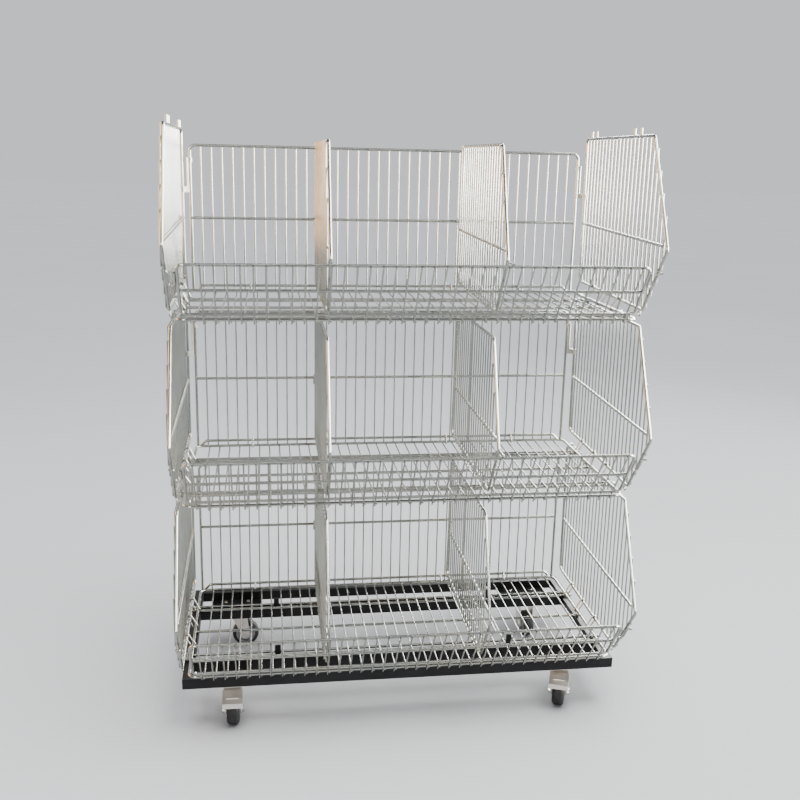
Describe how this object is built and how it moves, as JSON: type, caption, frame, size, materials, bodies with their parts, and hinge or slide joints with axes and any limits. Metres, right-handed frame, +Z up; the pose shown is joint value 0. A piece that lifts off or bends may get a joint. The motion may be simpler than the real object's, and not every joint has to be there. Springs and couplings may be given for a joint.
{
  "type": "stacking wire basket trolley",
  "caption": "Open-fronted wire baskets stacked on a tube base with swivel castors; sloping fold-down fronts and lift-out dividers make bins.",
  "frame": {"origin": "middle of the footprint on the floor, under the castors", "axes": "+X to the right seen from the open front, +Y towards the back panels, +Z up"},
  "size_m": [0.9124, 0.5224, 1.211],
  "materials": {
    "zinc_wire": "bright zinc-plated wire",
    "zinc_plate": "zinc-plated pressed sheet",
    "black_powder_coat": "satin black powder coat",
    "castor_steel": "bright nickel plate",
    "bright_screws": "bright zinc",
    "hub_plastic": "moulded grey",
    "tyre": "matt black rubber"
  },
  "bodies": {
    "base": {"base_front_rail": "black_powder_coat", "base_front_cross_rail": "black_powder_coat", "base_rear_cross_rail": "black_powder_coat", "base_rear_rail": "black_powder_coat", "base_left_rail": "black_powder_coat", "base_right_rail": "black_powder_coat", "base_end_caps": "black_powder_coat", "base_castor_plates": "black_powder_coat", "base_stop_tabs": "black_powder_coat", "base_screws": "bright_screws", "castor_top_plates": "castor_steel"},
    "castor_front_left_swivel": {"castor_front_left_fork": "castor_steel", "castor_front_left_axle": "bright_screws"},
    "castor_front_left_wheel": {"castor_front_left_hub": "hub_plastic", "castor_front_left_tyre": "tyre"},
    "castor_front_left_pedal": {"castor_front_left_pedal": "castor_steel"},
    "castor_front_right_swivel": {"castor_front_right_fork": "castor_steel", "castor_front_right_axle": "bright_screws"},
    "castor_front_right_wheel": {"castor_front_right_hub": "hub_plastic", "castor_front_right_tyre": "tyre"},
    "castor_front_right_pedal": {"castor_front_right_pedal": "castor_steel"},
    "castor_rear_left_swivel": {"castor_rear_left_fork": "castor_steel", "castor_rear_left_axle": "bright_screws"},
    "castor_rear_left_wheel": {"castor_rear_left_hub": "hub_plastic", "castor_rear_left_tyre": "tyre"},
    "castor_rear_right_swivel": {"castor_rear_right_fork": "castor_steel", "castor_rear_right_axle": "bright_screws"},
    "castor_rear_right_wheel": {"castor_rear_right_hub": "hub_plastic", "castor_rear_right_tyre": "tyre"},
    "tier1": {"tier1_floor_grid": "zinc_wire", "tier1_back_panel": "zinc_wire", "tier1_left_side": "zinc_wire", "tier1_right_side": "zinc_wire", "tier1_hinge_links": "zinc_wire"},
    "tier1_front_panel": {"tier1_front_panel": "zinc_wire"},
    "tier1_left_divider": {"tier1_left_divider": "zinc_wire"},
    "tier1_left_latch": {"tier1_left_latch": "zinc_plate"},
    "tier1_right_divider": {"tier1_right_divider": "zinc_wire"},
    "tier1_right_latch": {"tier1_right_latch": "zinc_plate"},
    "tier2": {"tier2_floor_grid": "zinc_wire", "tier2_back_panel": "zinc_wire", "tier2_left_side": "zinc_wire", "tier2_right_side": "zinc_wire", "tier2_hinge_links": "zinc_wire"},
    "tier2_front_panel": {"tier2_front_panel": "zinc_wire"},
    "tier2_left_divider": {"tier2_left_divider": "zinc_wire"},
    "tier2_left_latch": {"tier2_left_latch": "zinc_plate"},
    "tier2_right_divider": {"tier2_right_divider": "zinc_wire"},
    "tier2_right_latch": {"tier2_right_latch": "zinc_plate"},
    "tier3": {"tier3_floor_grid": "zinc_wire", "tier3_back_panel": "zinc_wire", "tier3_left_side": "zinc_wire", "tier3_right_side": "zinc_wire", "tier3_hinge_links": "zinc_wire"},
    "tier3_front_panel": {"tier3_front_panel": "zinc_wire"},
    "tier3_left_divider": {"tier3_left_divider": "zinc_wire"},
    "tier3_left_latch": {"tier3_left_latch": "zinc_plate"},
    "tier3_right_divider": {"tier3_right_divider": "zinc_wire"},
    "tier3_right_latch": {"tier3_right_latch": "zinc_plate"}
  },
  "joints": [
    {"name": "castor_front_left_swivel", "type": "hinge", "parent": "base", "child": "castor_front_left_swivel", "pos_m": [-0.352, -0.1158, 0.08025], "axis": [0, 0, 1], "continuous": true},
    {"name": "castor_front_left_roll", "type": "hinge", "parent": "castor_front_left_swivel", "child": "castor_front_left_wheel", "pos_m": [-0.352, -0.1358, 0.031], "axis": [1, 0, 0], "continuous": true},
    {"name": "castor_front_left_brake", "type": "hinge", "parent": "castor_front_left_swivel", "child": "castor_front_left_pedal", "pos_m": [-0.352, -0.1538, 0.066], "axis": [1, 0, 0], "range_deg": [0, 15]},
    {"name": "castor_front_right_swivel", "type": "hinge", "parent": "base", "child": "castor_front_right_swivel", "pos_m": [0.352, -0.1158, 0.08025], "axis": [0, 0, 1], "continuous": true},
    {"name": "castor_front_right_roll", "type": "hinge", "parent": "castor_front_right_swivel", "child": "castor_front_right_wheel", "pos_m": [0.34483, -0.13447, 0.031], "axis": [0.9336, -0.3584, 0], "continuous": true},
    {"name": "castor_front_right_brake", "type": "hinge", "parent": "castor_front_right_swivel", "child": "castor_front_right_pedal", "pos_m": [0.33838, -0.15128, 0.066], "axis": [0.9336, -0.3584, 0], "range_deg": [0, 15]},
    {"name": "castor_rear_left_swivel", "type": "hinge", "parent": "base", "child": "castor_rear_left_swivel", "pos_m": [-0.352, 0.2012, 0.08025], "axis": [0, 0, 1], "continuous": true},
    {"name": "castor_rear_left_roll", "type": "hinge", "parent": "castor_rear_left_swivel", "child": "castor_rear_left_wheel", "pos_m": [-0.332, 0.2012, 0.031], "axis": [0, 1, 0], "continuous": true},
    {"name": "castor_rear_right_swivel", "type": "hinge", "parent": "base", "child": "castor_rear_right_swivel", "pos_m": [0.352, 0.2012, 0.08025], "axis": [0, 0, 1], "continuous": true},
    {"name": "castor_rear_right_roll", "type": "hinge", "parent": "castor_rear_right_swivel", "child": "castor_rear_right_wheel", "pos_m": [0.35478, 0.1814, 0.031], "axis": [0.9903, 0.1392, 0], "continuous": true},
    {"name": "tier1_lift", "type": "slide", "parent": "base", "child": "tier1", "axis": [0, 0, 1], "range_m": [0, 0.06]},
    {"name": "tier1_front_open", "type": "hinge", "parent": "tier1", "child": "tier1_front_panel", "pos_m": [0, -0.1703, 0.1275], "axis": [1, 0, 0], "range_deg": [0, 100]},
    {"name": "tier1_left_divider_lift", "type": "slide", "parent": "tier1", "child": "tier1_left_divider", "axis": [0, 0, 1], "range_m": [0, 0.022]},
    {"name": "tier1_left_latch_swing", "type": "hinge", "parent": "tier1", "child": "tier1_left_latch", "pos_m": [-0.434, 0.2412, 0.3815], "axis": [0, 0, 1], "range_deg": [0, 75]},
    {"name": "tier1_right_divider_lift", "type": "slide", "parent": "tier1", "child": "tier1_right_divider", "axis": [0, 0, 1], "range_m": [0, 0.022]},
    {"name": "tier1_right_latch_swing", "type": "hinge", "parent": "tier1", "child": "tier1_right_latch", "pos_m": [0.434, 0.2412, 0.3815], "axis": [0, 0, -1], "range_deg": [0, 75]},
    {"name": "tier2_lift", "type": "slide", "parent": "tier1", "child": "tier2", "axis": [0, 0, 1], "range_m": [0, 0.06]},
    {"name": "tier2_front_open", "type": "hinge", "parent": "tier2", "child": "tier2_front_panel", "pos_m": [0, -0.1703, 0.4885], "axis": [1, 0, 0], "range_deg": [0, 100]},
    {"name": "tier2_left_divider_lift", "type": "slide", "parent": "tier2", "child": "tier2_left_divider", "axis": [0, 0, 1], "range_m": [0, 0.022]},
    {"name": "tier2_left_latch_swing", "type": "hinge", "parent": "tier2", "child": "tier2_left_latch", "pos_m": [-0.434, 0.2412, 0.7425], "axis": [0, 0, 1], "range_deg": [0, 75]},
    {"name": "tier2_right_divider_lift", "type": "slide", "parent": "tier2", "child": "tier2_right_divider", "axis": [0, 0, 1], "range_m": [0, 0.022]},
    {"name": "tier2_right_latch_swing", "type": "hinge", "parent": "tier2", "child": "tier2_right_latch", "pos_m": [0.434, 0.2412, 0.7425], "axis": [0, 0, -1], "range_deg": [0, 75]},
    {"name": "tier3_lift", "type": "slide", "parent": "tier2", "child": "tier3", "axis": [0, 0, 1], "range_m": [0, 0.06]},
    {"name": "tier3_front_open", "type": "hinge", "parent": "tier3", "child": "tier3_front_panel", "pos_m": [0, -0.1703, 0.8495], "axis": [1, 0, 0], "range_deg": [0, 100]},
    {"name": "tier3_left_divider_lift", "type": "slide", "parent": "tier3", "child": "tier3_left_divider", "axis": [0, 0, 1], "range_m": [0, 0.022]},
    {"name": "tier3_left_latch_swing", "type": "hinge", "parent": "tier3", "child": "tier3_left_latch", "pos_m": [-0.434, 0.2412, 1.1035], "axis": [0, 0, 1], "range_deg": [0, 75]},
    {"name": "tier3_right_divider_lift", "type": "slide", "parent": "tier3", "child": "tier3_right_divider", "axis": [0, 0, 1], "range_m": [0, 0.022]},
    {"name": "tier3_right_latch_swing", "type": "hinge", "parent": "tier3", "child": "tier3_right_latch", "pos_m": [0.434, 0.2412, 1.1035], "axis": [0, 0, -1], "range_deg": [0, 75]}
  ]
}
